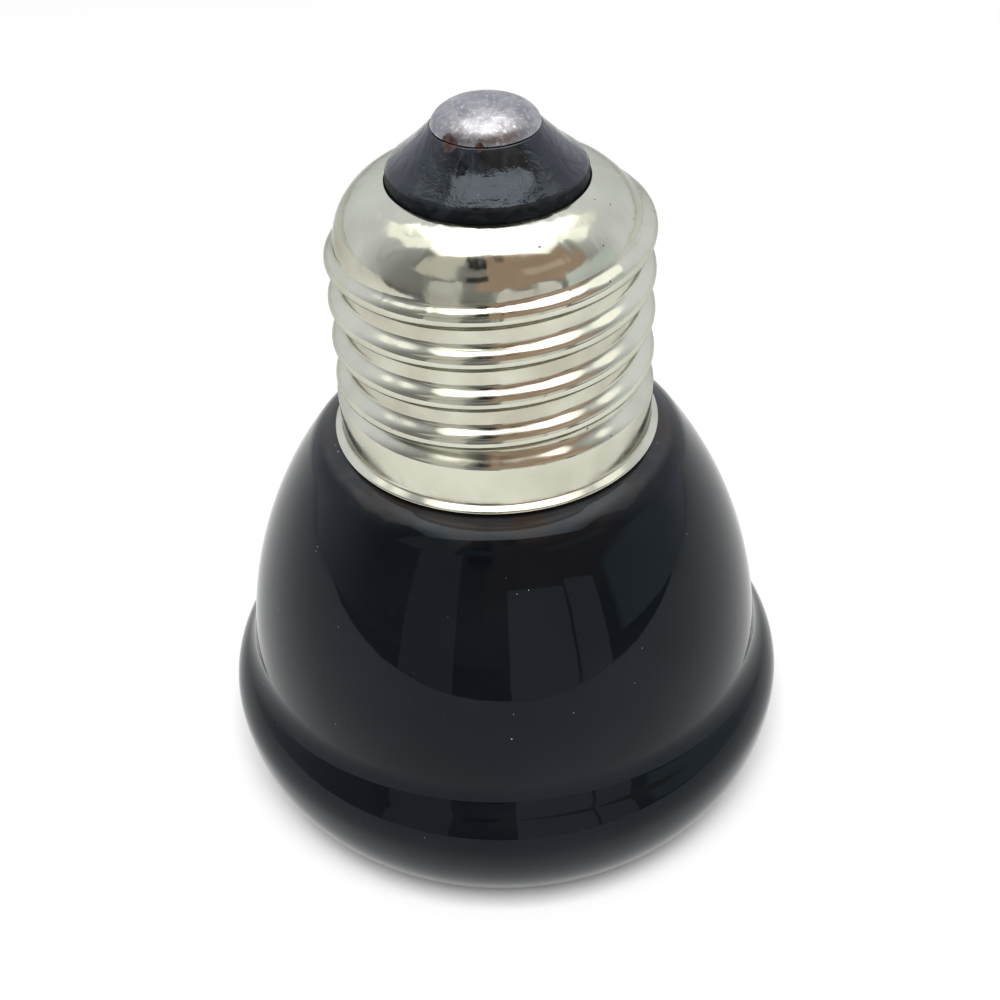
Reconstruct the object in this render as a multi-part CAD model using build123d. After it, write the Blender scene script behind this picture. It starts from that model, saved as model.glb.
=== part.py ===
from build123d import *
from math import cos, radians, sin, sqrt, tan
import os

# Ceramic heat emitter with an E27 screw cap, standing cap up on its radiating face.
# Sizes are millimetres. The origin is the centre of the standing face, and +Z runs up the axis.
# Sections are drawn with X as the radius and Y as the height, and are turned about the axis.

# Driving sizes
BODY_DIAMETER = 51.0
BODY_HEIGHT = 36.7
THREAD_DIAMETER = 26.3
THREAD_PITCH = 3.629
THREAD_TURNS = 4

# Rolled thread: a round crest with straight sides on a plain core, fading out at both ends
CREST_RADIUS = THREAD_DIAMETER / 2
CREST_ROUND = 1.025
THREAD_DEPTH = 1.02
THREAD_SIDE_ANGLE = 60.0
THREAD_FOOT_DEPTH = 0.2
THREAD_ROOT_DEPTH = 0.6
THREAD_START_ANGLE = 90.0
THREAD_FADE_ANGLE = 75.0
THREAD_PATH_STEP = 30.0
CORE_RADIUS = CREST_RADIUS - THREAD_DEPTH

# Screw shell of even sheet, with its heights counted up from the lip
SHEET = 0.35
LIP_STANDOFF = 0.3
LIP_Z = BODY_HEIGHT + LIP_STANDOFF
LIP_RADIUS = CREST_RADIUS + 0.55
LIP_EDGE = 0.4
WAIST_RADIUS = CREST_RADIUS - 0.15
WAIST_HEIGHT = 1.1
FLARE_HOLLOW = 0.2
SKIRT_RADIUS = CREST_RADIUS + 0.05
SKIRT_HEIGHT = 4.0
SKIRT_BLEND = 1.2
THREAD_START_HEIGHT = 4.6
CROWN_RADIUS = CORE_RADIUS + 0.25
CROWN_ROUND = 5.25
CROWN_HEIGHT = THREAD_START_HEIGHT + (THREAD_TURNS - 0.5) * THREAD_PITCH
CROWN_BLEND = 1.0
MOUTH_RADIUS = CROWN_RADIUS - 4.45

# Neck of the ceramic body, which fills the shell and holds it on
NECK_CLEARANCE = 0.0
NECK_BAND_RADIUS = WAIST_RADIUS - SHEET - NECK_CLEARANCE
NECK_BAND_TOP = LIP_Z + SKIRT_HEIGHT - 0.4
NECK_RADIUS = CORE_RADIUS - SHEET - NECK_CLEARANCE
NECK_TOP = LIP_Z + CROWN_HEIGHT - 5.3
NECK_CHAMFER = 0.8

# Ceramic bell: a sloping land under the cap, a tight shoulder and a long flank down to the rim
LAND_SLOPE = 18.0
LAND_RADIUS = LIP_RADIUS + 1.35
LAND_HEIGHT = BODY_HEIGHT - (LAND_RADIUS - NECK_BAND_RADIUS) * tan(radians(LAND_SLOPE))
SHOULDER_ROUND = 1.3
SHOULDER_TURN = 36.4

# Rim of the bell, round above its widest line and drawn in below it to the standing face
RIM_RADIUS = BODY_DIAMETER / 2
RIM_HEIGHT = 9.65
RIM_ROUND = 5.1
RIM_UNDERCUT = 7.9
FACE_RADIUS = RIM_RADIUS - RIM_UNDERCUT
FOOT_RADIUS = RIM_RADIUS - 2.32
FOOT_HEIGHT = RIM_HEIGHT + 3.6
CREASE_ROUND = 1.8

# Glass insulator in the crown of the shell, and the soldered contact on top of it
CONTACT_RADIUS = 4.2
CONTACT_EDGE = 0.25
CONTACT_RISE = 1.65
CONTACT_ROUND = (CONTACT_RADIUS**2 + CONTACT_RISE**2) / (2 * CONTACT_RISE)
SEAT_RADIUS = CONTACT_RADIUS + 0.15
SEAT_HEIGHT = CROWN_HEIGHT + 9.4
STEM_RADIUS = 1.1
STEM_LENGTH = 4.0
INSULATOR_EDGE = 0.5
INSULATOR_EDGE_ROUND = 0.9
INSULATOR_EDGE_TURN = 52.0
INSULATOR_FOOT_HEIGHT = CROWN_HEIGHT - 2.0


def turned(section):
    """Solid of a section turned about the upright axis."""
    return revolve(Plane.XZ * section, Axis.Z)


def bell_section():
    """Half section of the bell, with the stepped neck above it."""
    land_fall = (1, -tan(radians(LAND_SLOPE)))
    shoulder = JernArc((LAND_RADIUS, LAND_HEIGHT), land_fall, SHOULDER_ROUND, -SHOULDER_TURN)
    flank = TangentArc(shoulder @ 1, (FOOT_RADIUS, FOOT_HEIGHT), tangent=shoulder % 1)
    inside = Polyline(
        flank @ 1,
        (FOOT_RADIUS, RIM_HEIGHT),
        (0, RIM_HEIGHT),
        (0, NECK_TOP),
        (NECK_RADIUS - NECK_CHAMFER, NECK_TOP),
        (NECK_RADIUS, NECK_TOP - NECK_CHAMFER),
        (NECK_RADIUS, NECK_BAND_TOP),
        (NECK_BAND_RADIUS, NECK_BAND_TOP),
        (NECK_BAND_RADIUS, BODY_HEIGHT),
        shoulder @ 0,
    )
    return make_face(shoulder + flank + inside)


def rim_section():
    """Half section of the rim and the standing face."""
    upper = CenterArc((RIM_RADIUS - RIM_ROUND, RIM_HEIGHT), RIM_ROUND, 0, 90)
    lower = EllipticalCenterArc((FACE_RADIUS, RIM_HEIGHT), RIM_UNDERCUT, RIM_HEIGHT, 270, arc_size=90)
    inside = Polyline(upper @ 1, (0, RIM_HEIGHT + RIM_ROUND), (0, 0), lower @ 0)
    return make_face(lower + upper + inside)


def ceramic_body():
    """Bell, rim and neck, cast in one piece, with a soft crease where the bell meets the rim."""
    section = bell_section() + rim_section()
    crease = section.vertices().sort_by_distance((FOOT_RADIUS, FOOT_HEIGHT))[0]
    return turned(fillet(crease, CREASE_ROUND))


def thread_path_point(angle, core_radius):
    """Point of the thread's path, which sinks into the core towards both ends."""
    end_angle = 360 * THREAD_TURNS
    shown = min(1, min(angle, end_angle - angle) / THREAD_FADE_ANGLE)
    radius = core_radius - THREAD_DEPTH * (1 - shown**2 * (3 - 2 * shown))
    turn = radians(THREAD_START_ANGLE + angle)
    height = THREAD_START_HEIGHT + THREAD_PITCH * angle / 360
    return (radius * cos(turn), radius * sin(turn), height)


def thread_ridge(inset):
    """Right-handed ridge with a round crest, set in from the outer face of the sheet."""
    steps = round(360 * THREAD_TURNS / THREAD_PATH_STEP)
    angles = [360 * THREAD_TURNS * step / steps for step in range(steps + 1)]
    path = Spline(*[thread_path_point(angle, CORE_RADIUS - inset) for angle in angles])
    crest_centre = (THREAD_DEPTH - CREST_ROUND + inset, 0)
    crest = CenterArc(crest_centre, CREST_ROUND - inset, -THREAD_SIDE_ANGLE, 2 * THREAD_SIDE_ANGLE)
    side_top = crest @ 1
    half_foot = side_top.Y + (side_top.X + THREAD_FOOT_DEPTH) / tan(radians(THREAD_SIDE_ANGLE))
    sides = Polyline(
        side_top,
        (-THREAD_FOOT_DEPTH, half_foot),
        (-THREAD_ROOT_DEPTH, half_foot),
        (-THREAD_ROOT_DEPTH, -half_foot),
        (-THREAD_FOOT_DEPTH, -half_foot),
        crest @ 0,
    )
    turn = radians(THREAD_START_ANGLE)
    start = Plane(path @ 0, x_dir=(cos(turn), sin(turn), 0), z_dir=(sin(turn), -cos(turn), 0))
    axis = Line((0, 0, (path @ 0).Z), (0, 0, (path @ 1).Z))
    return sweep(start * make_face(crest + sides), path=path, binormal=axis.edge())


def crown_arc(inset):
    """Rounded top of the shell, from the thread in to the mouth."""
    reach = MOUTH_RADIUS - (CROWN_RADIUS - CROWN_ROUND)
    mouth_height = CROWN_HEIGHT + sqrt((CROWN_ROUND - inset) ** 2 - reach**2)
    start = (CROWN_RADIUS - inset, CROWN_HEIGHT)
    return RadiusArc(start, (MOUTH_RADIUS, mouth_height), -(CROWN_ROUND - inset))


def wall_section(inset, drop):
    """Half section inside one face of the plain sheet, set in by one amount and dropped at the lip by another."""
    crown = crown_arc(inset)
    up = (0, 1)
    side = Spline(
        (WAIST_RADIUS - inset, WAIST_HEIGHT - drop),
        (SKIRT_RADIUS - inset, SKIRT_HEIGHT),
        (CORE_RADIUS - inset, SKIRT_HEIGHT + SKIRT_BLEND),
        (CORE_RADIUS - inset, CROWN_HEIGHT - CROWN_BLEND),
        crown @ 0,
        crown @ 0.5,
        crown @ 1,
        tangents=(up, up, up, up, up, crown % 0.5, crown % 1),
    )
    flare = SagittaArc((LIP_RADIUS - inset, LIP_EDGE - drop), side @ 0, FLARE_HOLLOW)
    inside = Polyline(side @ 1, (0, (side @ 1).Y), (0, -drop), (LIP_RADIUS - inset, -drop), flare @ 0)
    return make_face(flare + side + inside)


def shell_form(inset, drop):
    """Solid inside one face of the sheet, with the thread."""
    return turned(wall_section(inset, drop)) + thread_ridge(inset)


def screw_shell():
    """Pressed shell with an out-turned lip, a plain skirt, the rolled thread and a rounded crown."""
    mouth = Pos(Z=CROWN_HEIGHT + CROWN_ROUND) * Cylinder(MOUTH_RADIUS, CROWN_ROUND)
    return Pos(Z=LIP_Z) * (shell_form(0, 0) - shell_form(SHEET, LIP_EDGE) - mouth)


def insulator():
    """Glass fused into the crown of the shell, with a low round edge and a slightly hollow cone up to its seat."""
    mouth = crown_arc(0) @ 1
    edge_top = (MOUTH_RADIUS, mouth.Y + INSULATOR_EDGE)
    edge = JernArc(edge_top, (0, 1), INSULATOR_EDGE_ROUND, INSULATOR_EDGE_TURN)
    cone = TangentArc(edge @ 1, (SEAT_RADIUS, SEAT_HEIGHT), tangent=edge % 1)
    inside = Polyline(
        cone @ 1,
        (STEM_RADIUS, SEAT_HEIGHT),
        (STEM_RADIUS, CROWN_HEIGHT),
        (MOUTH_RADIUS, CROWN_HEIGHT),
        edge_top,
    )
    above_foot = Rectangle(CREST_RADIUS - STEM_RADIUS, SEAT_HEIGHT, align=Align.MIN)
    fused = wall_section(SHEET, LIP_EDGE) & Pos(STEM_RADIUS, INSULATOR_FOOT_HEIGHT) * above_foot
    return Pos(Z=LIP_Z) * turned(fused + make_face(edge + cone + inside))


def centre_contact():
    """Low dome of solder with a stem down the bore of the insulator."""
    edge_height = SEAT_HEIGHT + CONTACT_EDGE
    dome = RadiusArc((CONTACT_RADIUS, edge_height), (0, edge_height + CONTACT_RISE), -CONTACT_ROUND)
    inside = Polyline(
        dome @ 1,
        (0, SEAT_HEIGHT - STEM_LENGTH),
        (STEM_RADIUS, SEAT_HEIGHT - STEM_LENGTH),
        (STEM_RADIUS, SEAT_HEIGHT),
        (CONTACT_RADIUS, SEAT_HEIGHT),
        dome @ 0,
    )
    return Pos(Z=LIP_Z) * turned(make_face(dome + inside))


os.makedirs("parts", exist_ok=True)
for piece in (ceramic_body, screw_shell, insulator, centre_contact):
    export_step(piece(), f"parts/{piece.__name__}.step")
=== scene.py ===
import logging
import math
from collections.abc import Callable
from dataclasses import dataclass
from enum import Enum
from typing import Optional, Union

import bpy
from mathutils import Matrix, Vector


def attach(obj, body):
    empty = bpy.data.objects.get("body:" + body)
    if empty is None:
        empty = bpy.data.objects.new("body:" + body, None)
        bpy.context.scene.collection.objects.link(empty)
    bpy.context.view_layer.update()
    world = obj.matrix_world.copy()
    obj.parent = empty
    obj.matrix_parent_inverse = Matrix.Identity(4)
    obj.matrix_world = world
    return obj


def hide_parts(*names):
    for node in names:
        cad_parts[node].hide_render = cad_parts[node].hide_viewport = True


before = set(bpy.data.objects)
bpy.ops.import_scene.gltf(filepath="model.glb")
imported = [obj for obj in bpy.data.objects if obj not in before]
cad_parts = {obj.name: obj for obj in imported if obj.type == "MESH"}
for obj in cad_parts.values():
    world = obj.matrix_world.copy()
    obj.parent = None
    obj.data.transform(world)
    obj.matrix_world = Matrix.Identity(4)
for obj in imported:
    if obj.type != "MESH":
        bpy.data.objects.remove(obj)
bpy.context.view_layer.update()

# Ceramic heat emitter: a glazed bell with a nickel screw cap, a glass insulator and a soldered contact.
# Sizes are millimetres in the part's own frame, and become metres when a mesh or a lamp is made.

LOG = logging.getLogger("heat_emitter")
MM = 0.001
BODY = "root"

# Sizes that two or more pieces share
LIP_HEIGHT = 37.0
SHEET = 0.35
CROWN_CENTRE = (7.13, 54.3)
CROWN_ROUND = 5.25
MOUTH_RADIUS = 7.93
SEAT_HEIGHT = 63.7
BORE_RADIUS = 1.1

# Distance in millimetres below which two points are one
SAME_POINT = 1e-4

# Spots, flux and the dish in the glass fade from this share of their reach
SOFT_EDGE = 0.7

# Least radius of a scattered spot, as a share of the spacing
SMALLEST_SPOT = 1e-4

# Within this part of a turn past its ends, the thread sinks by this many times its depth
PAST_END = 0.1
PAST_DROP = 6.0

Point = tuple[float, float]
Place = tuple[float, float, float]
Colour = tuple[float, float, float]
Socket = bpy.types.NodeSocket
Feed = Union[Socket, float, int, bool, tuple, bpy.types.ID]
Feeds = dict[Union[str, int], Feed]


class Slot(Enum):
    """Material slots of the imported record."""

    BLACK_GLAZE = "black_glaze"
    NICKEL_SHEET = "nickel_sheet"
    BLACK_GLASS = "black_glass"
    SOLDER = "solder"


class Ends(Enum):
    """How the two ends of a turned section are closed."""

    ON_AXIS = "both ends lie on the axis"
    JOINED = "the section is a ring, and its last point joins its first"


class Wiring:
    """Short calls that add and join the nodes of one tree."""

    def __init__(self, tree: bpy.types.NodeTree) -> None:
        """Takes hold of the tree that the calls work on."""
        self.tree = tree

    def add(self, kind: str, feeds: Optional[Feeds] = None, **settings: object) -> bpy.types.Node:
        """Adds a node.

        Args:
            kind: Blender's name of the node's type.
            feeds: What fills its inputs, by the input's name or number.
            settings: Properties of the node to set.

        Returns:
            The new node.
        """
        node = self.tree.nodes.new(kind)
        for name, value in settings.items():
            setattr(node, name, value)
        for key, value in (feeds or {}).items():
            self.feed(node.inputs[key], value)
        return node

    def feed(self, socket: Socket, value: Feed) -> None:
        """Joins a socket to another one, or sets its value.

        Args:
            socket: The input to fill.
            value: An output socket to join, or a plain value to set.
        """
        if isinstance(value, Socket):
            self.tree.links.new(value, socket)
        else:
            socket.default_value = value

    def math(self, operation: str, *values: Feed) -> Socket:
        """Result of one step of arithmetic, by Blender's name of it, on operands in order."""
        return self.add("ShaderNodeMath", dict(enumerate(values)), operation=operation).outputs[0]

    def times(self, first: Feed, second: Feed) -> Socket:
        """Product of two values."""
        return self.math("MULTIPLY", first, second)

    def plus(self, first: Feed, second: Feed) -> Socket:
        """Sum of two values."""
        return self.math("ADD", first, second)

    def minus(self, first: Feed, second: Feed) -> Socket:
        """First value less the second."""
        return self.math("SUBTRACT", first, second)

    def over(self, first: Feed, second: Feed) -> Socket:
        """First value divided by the second."""
        return self.math("DIVIDE", first, second)

    def apart(self, first: Feed, second: Feed) -> Socket:
        """Distance between two values, whichever is the larger."""
        return self.math("ABSOLUTE", self.minus(first, second))

    def ramp(self, value: Feed, low: float, high: float, start: float = 0.0, end: float = 1.0) -> Socket:
        """Eases smoothly from one value to another as an input crosses a range.

        Args:
            value: The input.
            low: Input at which the easing starts.
            high: Input at which it ends.
            start: Result at and before low.
            end: Result at and after high.

        Returns:
            The eased result's socket.
        """
        feeds = {"Value": value, "From Min": low, "From Max": high, "To Min": start, "To Max": end}
        return self.add("ShaderNodeMapRange", feeds, interpolation_type="SMOOTHSTEP").outputs["Result"]

    def parts(self, vector: Socket) -> list[Socket]:
        """X, Y and Z of a vector."""
        return list(self.add("ShaderNodeSeparateXYZ", {0: vector}).outputs)

    def vector(self, *numbers: Feed) -> Socket:
        """Vector that is joined from its X, Y and Z."""
        return self.add("ShaderNodeCombineXYZ", dict(enumerate(numbers))).outputs[0]


@dataclass(frozen=True)
class Cloud:
    """Cloudy pattern: size of a cloud, finer layers, how far it is stirred and the depth of its relief."""

    size: float
    detail: float
    stir: float = 0.0
    depth: float = 0.0


@dataclass(frozen=True)
class Spots:
    """Scattered round spots: spacing of their places, largest diameter, share of places filled, depth."""

    spacing: float
    size: float
    share: float = 0.9
    depth: float = 0.0


class Shading(Wiring):
    """A material under way: its principled shader, its place on the piece and short calls for patterns."""

    def __init__(self, name: str) -> None:
        """Starts an empty material.

        Args:
            name: The material's name.
        """
        self.material = bpy.data.materials.new(name)
        self.material.use_nodes = True
        super().__init__(self.material.node_tree)
        self.tree.nodes.clear()
        self.shader = self.add("ShaderNodeBsdfPrincipled")
        self.add("ShaderNodeOutputMaterial", {"Surface": self.shader.outputs[0]})
        self.place = self.add("ShaderNodeTexCoord").outputs["Object"]

    def set(self, **values: Feed) -> None:
        """Fills sockets of the shader, whose spaces are written as underscores."""
        for name, value in values.items():
            self.feed(self.shader.inputs[name.replace("_", " ")], value)

    def noise(self, cloud: Cloud, place: Optional[Socket] = None) -> Socket:
        """Cloudy pattern.

        Args:
            cloud: Its sizes.
            place: Coordinates to use instead of the piece's own.

        Returns:
            A value round one half.
        """
        feeds = {"Scale": 1.0 / (cloud.size * MM), "Detail": cloud.detail, "Distortion": cloud.stir}
        return self.add("ShaderNodeTexNoise", {"Vector": place or self.place, **feeds}).outputs["Fac"]

    def specks(self, spots: Spots) -> Socket:
        """Scattered round spots.

        Args:
            spots: Their sizes.

        Returns:
            One inside a spot and nought outside.
        """
        cells = self.add("ShaderNodeTexVoronoi", {"Vector": self.place, "Scale": 1.0 / (spots.spacing * MM)})
        chance, reach, _ = self.parts(cells.outputs["Color"])
        radius = self.times(reach, 0.5 * spots.size / spots.spacing)
        inside = self.over(cells.outputs["Distance"], self.plus(radius, SMALLEST_SPOT))
        spot = self.ramp(inside, SOFT_EDGE, 1.0, 1.0, 0.0)
        return self.times(spot, self.math("LESS_THAN", chance, spots.share))

    def mix(self, factor: Feed, under: Feed, over: Feed) -> Socket:
        """Mixes two colours.

        Args:
            factor: Share of the second one.
            under: First colour.
            over: Second colour.

        Returns:
            The mixed colour's socket.
        """
        node = self.add("ShaderNodeMix", {"Factor": factor}, data_type="RGBA")
        for name, value in (("A", under), ("B", over)):
            socket = next(s for s in node.inputs if s.name == name and s.type == "RGBA")
            self.feed(socket, value if isinstance(value, Socket) else (*value, 1.0))
        return next(s for s in node.outputs if s.type == "RGBA")

    def bump(self, height: Socket, depth: float, under: Optional[Socket] = None) -> Socket:
        """Raises the surface by a pattern.

        Args:
            height: The pattern, from nought to one.
            depth: Height of the pattern in millimetres.
            under: Normal of a coarser relief to add it to.

        Returns:
            The raised normal's socket.
        """
        feeds = {"Strength": 1.0, "Distance": depth * MM, "Height": height}
        if under is not None:
            feeds["Normal"] = under
        return self.add("ShaderNodeBump", feeds).outputs["Normal"]

    def relief(self, cloud: Cloud, under: Optional[Socket] = None) -> Socket:
        """Normal of a surface raised by a cloudy pattern, over any coarser relief."""
        return self.bump(self.noise(cloud), cloud.depth, under)

    def pits(self, spots: Socket, depth: float, under: Socket) -> Socket:
        """Normal of a surface with spots sunk into it, over a coarser relief."""
        return self.bump(self.minus(1.0, spots), depth, under)

    def radius(self) -> Socket:
        """Distance from the upright axis, in millimetres."""
        x, y, _ = self.parts(self.place)
        return self.over(self.math("SQRT", self.plus(self.times(x, x), self.times(y, y))), MM)

    def height(self) -> Socket:
        """Height above the standing face, in millimetres."""
        return self.over(self.parts(self.place)[2], MM)

    def band(self, value: Socket, middle: float, half: float) -> Socket:
        """One where a value is at the middle of a band, easing to nought at half its width."""
        return self.ramp(self.apart(value, middle), 0.0, half, 1.0, 0.0)


@dataclass(frozen=True)
class BlackGlaze:
    """Deep black fired glaze: a wet gloss with slight waves, thin brown edges, pinholes and dust."""

    black: Colour = (0.0025, 0.0032, 0.0045)
    cloudy: Colour = (0.0045, 0.0055, 0.0075)
    thin: Colour = (0.030, 0.019, 0.013)
    dust: Colour = (0.55, 0.55, 0.53)
    settled: Colour = (0.042, 0.042, 0.043)
    sheen: Colour = (0.76, 0.90, 1.0)
    refraction: float = 1.28
    collar_height: float = 36.2
    collar_half: float = 1.1
    land_edge: Point = (35.7, 36.1)
    clouds: Cloud = Cloud(9.0, 3.0)
    wear: Cloud = Cloud(5.0, 4.0)
    film: Cloud = Cloud(2.5, 4.0)
    smears: Cloud = Cloud(14.0, 4.0, 1.2)
    waves: Cloud = Cloud(7.0, 1.0, depth=0.035)
    peel: Cloud = Cloud(1.3, 1.0, depth=0.0022)
    large_dust: Spots = Spots(2.7, 0.2)
    fine_dust: Spots = Spots(1.25, 0.1)
    pinholes: Spots = Spots(3.0, 0.16, depth=0.03)

    def material(self) -> bpy.types.Material:
        """Wires the glaze.

        Returns:
            The finished material.
        """
        s = Shading("black_glaze")
        height = s.height()
        edge = s.band(height, self.collar_height, self.collar_half)
        worn = s.times(edge, s.ramp(s.noise(self.wear), 0.42, 0.68))
        dust = s.plus(s.specks(self.large_dust), s.specks(self.fine_dust))
        film = s.times(s.ramp(height, *self.land_edge), s.ramp(s.noise(self.film), 0.3, 0.7, 0.6, 1.0))
        colour = s.mix(s.ramp(s.noise(self.clouds), 0.35, 0.7), self.black, self.cloudy)
        colour = s.mix(film, colour, self.settled)
        colour = s.mix(s.times(worn, 0.8), colour, self.thin)
        colour = s.mix(s.times(dust, 0.75), colour, self.dust)
        smears = s.ramp(s.noise(self.smears), 0.5, 0.75, 0.035, 0.085)
        peel = s.relief(self.peel, s.relief(self.waves))
        pinholes = s.pits(s.specks(self.pinholes), self.pinholes.depth, peel)
        s.set(Base_Color=colour, Roughness=s.plus(smears, s.times(dust, 0.5)), Normal=pinholes)
        s.set(IOR=self.refraction, Specular_Tint=(*self.sheen, 1.0))
        return s.material


@dataclass(frozen=True)
class NickelSheet:
    """Bright nickel on drawn sheet: faint drawing lines, pits, specks, and painted shade in the thread's
    valleys and in the crease between the lip and the skirt.
    """

    bright: Colour = (0.625, 0.622, 0.515)
    dull: Colour = (0.515, 0.511, 0.418)
    recess_shade: Colour = (0.34, 0.285, 0.215)
    speck: Colour = (0.16, 0.13, 0.10)
    edge_tint: Colour = (0.62, 0.63, 0.62)
    valley_radius: float = 12.15
    waist_height: float = 37.72
    shade_half: float = 0.25
    crown_edge: Point = (53.0, 55.0)
    clouds: Cloud = Cloud(6.0, 4.0)
    shade_patches: Cloud = Cloud(3.0, 4.0)
    smears: Cloud = Cloud(2.2, 5.0, 0.6)
    knocks: Cloud = Cloud(3.4, 1.5, 1.0, 0.10)
    dents: Cloud = Cloud(4.5, 1.5, depth=0.03)
    drawn: Cloud = Cloud(1.0, 3.0, depth=0.0012)
    drawn_stretch: Place = (0.25, 0.25, 5.0)
    large_specks: Spots = Spots(1.9, 0.3)
    fine_specks: Spots = Spots(1.2, 0.12)
    pit_depth: float = 0.012

    def material(self) -> bpy.types.Material:
        """Wires the nickel.

        Returns:
            The finished material.
        """
        s = Shading("nickel_sheet")
        height = s.height()
        clouds = s.noise(self.clouds)
        shade_patches = s.ramp(s.noise(self.shade_patches), 0.3, 0.6)
        # Painted shade: a cloudy band at the roots of the thread's valleys
        low = s.times(s.band(s.radius(), self.valley_radius, self.shade_half), s.ramp(clouds, 0.35, 0.65))
        # Painted shade: patches along the crease between the lip and the skirt
        crease = s.times(s.band(height, self.waist_height, self.shade_half), shade_patches)
        specks = s.plus(s.specks(self.large_specks), s.specks(self.fine_specks))
        colour = s.mix(s.ramp(clouds, 0.35, 0.75), self.bright, self.dull)
        # Painted shade in the thread's valleys, mixed towards a brown grey
        colour = s.mix(s.times(low, 0.35), colour, self.recess_shade)
        # Painted shade in the crease between the lip and the skirt, mixed towards a brown grey
        colour = s.mix(s.times(crease, 0.7), colour, self.recess_shade)
        colour = s.mix(s.times(specks, 0.7), colour, self.speck)
        smears = s.ramp(s.noise(self.smears), 0.4, 0.75, 0.10, 0.2)
        crown = s.ramp(height, *self.crown_edge)
        knocks = s.bump(s.times(s.noise(self.knocks), crown), self.knocks.depth)
        stretched = s.vector(*map(s.times, s.parts(s.place), self.drawn_stretch))
        lines = s.bump(s.noise(self.drawn, stretched), self.drawn.depth, s.relief(self.dents, knocks))
        s.set(Base_Color=colour, Metallic=1.0, Roughness=s.plus(smears, s.times(specks, 0.3)))
        s.set(Normal=s.pits(specks, self.pit_depth, lines), Specular_Tint=(*self.edge_tint, 1.0))
        return s.material


@dataclass(frozen=True)
class BurntFlux:
    """Spots of burnt flux, each with its place and size, from the front edge of the solder onto the glass."""

    brown: Colour = (0.085, 0.031, 0.019)
    charred: Colour = (0.014, 0.008, 0.007)
    spots: tuple[Place, ...] = ((-2.72, -3.22, 0.84), (-0.45, -4.15, 0.44))
    ragged: Cloud = Cloud(0.6, 4.0)
    ragged_reach: float = 0.7
    heart: Cloud = Cloud(0.35, 3.0)

    def cover(self, s: Shading) -> Socket:
        """Cover of burnt flux.

        Args:
            s: The material under way.

        Returns:
            One inside the spots, with a ragged edge.
        """
        ragged = s.times(s.minus(s.noise(self.ragged), 0.5), self.ragged_reach)
        cover: Feed = 0.0
        for x, y, size in self.spots:
            middle = (x * MM, y * MM, SEAT_HEIGHT * MM)
            off = s.add("ShaderNodeVectorMath", {0: s.place, 1: middle}, operation="DISTANCE")
            distance = s.plus(s.over(off.outputs["Value"], MM), ragged)
            cover = s.math("MAXIMUM", cover, s.ramp(distance, SOFT_EDGE * size, size, 1.0, 0.0))
        return cover

    def colour(self, s: Shading, cover: Socket) -> Socket:
        """Colour of the spots: a brown heart inside a charred edge."""
        heart = s.times(s.ramp(cover, 0.6, 1.0), s.ramp(s.noise(self.heart), 0.35, 0.65))
        return s.mix(heart, self.charred, self.brown)


@dataclass(frozen=True)
class BlackGlass:
    """Poured black glass: swirls, bubbles broken open at the surface, smears and a little dust."""

    black: Colour = (0.004, 0.0045, 0.006)
    smoky: Colour = (0.012, 0.0135, 0.017)
    dust: Colour = (0.4, 0.4, 0.4)
    sheen: Colour = (0.80, 0.91, 1.0)
    refraction: float = 1.5
    burnt_edge: Point = (60.2, 60.6)
    swirl: Cloud = Cloud(2.4, 3.0, 2.5, 0.06)
    smears: Cloud = Cloud(1.6, 4.0, 1.0)
    rings: Cloud = Cloud(0.9, 1.0, 3.5, 0.016)
    grain: Cloud = Cloud(0.5, 2.0, depth=0.006)
    specks: Spots = Spots(1.3, 0.12)
    bubbles: Spots = Spots(1.7, 0.5, 0.6, 0.05)
    flux: BurntFlux = BurntFlux()

    def material(self) -> bpy.types.Material:
        """Wires the glass.

        Returns:
            The finished material.
        """
        s = Shading("black_glass")
        swirl = s.noise(self.swirl)
        dust = s.specks(self.specks)
        flux = self.flux.cover(s)
        burnt = s.ramp(s.height(), *self.burnt_edge, 1.0, 0.0)
        matt = s.math("MAXIMUM", flux, s.math("MAXIMUM", dust, burnt))
        smears = s.ramp(s.noise(self.smears), 0.4, 0.7, 0.06, 0.2)
        grain = s.relief(self.grain, s.relief(self.rings, s.bump(swirl, self.swirl.depth)))
        bubbles = s.pits(s.specks(self.bubbles), self.bubbles.depth, grain)
        colour = s.mix(s.ramp(swirl, 0.4, 0.65), self.black, self.smoky)
        colour = s.mix(s.times(dust, 0.6), colour, self.dust)
        s.set(Base_Color=s.mix(flux, colour, self.flux.colour(s, flux)))
        s.set(Roughness=s.plus(smears, s.times(matt, 0.4)), Normal=bubbles)
        s.set(IOR=self.refraction, Specular_Tint=(*self.sheen, 1.0))
        s.set(Specular_IOR_Level=s.ramp(burnt, 0.0, 1.0, 0.5, 0.12))
        return s.material


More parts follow.
